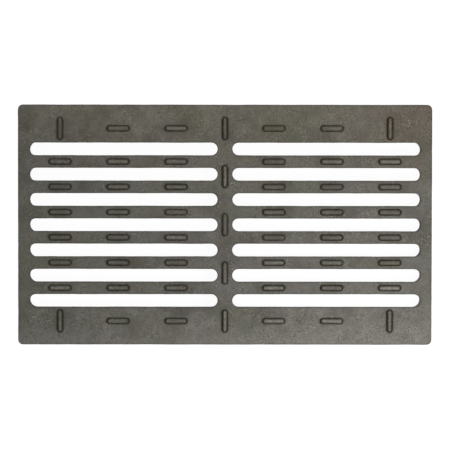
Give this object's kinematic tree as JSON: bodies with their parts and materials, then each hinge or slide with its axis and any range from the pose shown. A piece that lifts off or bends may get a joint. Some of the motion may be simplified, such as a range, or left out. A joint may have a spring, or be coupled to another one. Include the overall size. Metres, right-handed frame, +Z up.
{
  "type": "slotted drain grating",
  "caption": "Flat rectangular cast-iron drain grating with long round-ended slots, raised anti-slip studs on its tread and ribbed pockets under its solid edge strips.",
  "frame": {"origin": "centre of the underside, on the plane of the rims and bars that the grating rests on", "axes": "+X along the panel's long side and its slots, +Y across the slots, +Z up out of the studded tread"},
  "size_m": [0.5, 0.29, 0.028],
  "materials": {
    "cast_iron": "bare as-cast iron, dull and finely grained, with faint olive and brown staining"
  },
  "bodies": {
    "root": {"grate": "cast_iron"}
  },
  "joints": []
}
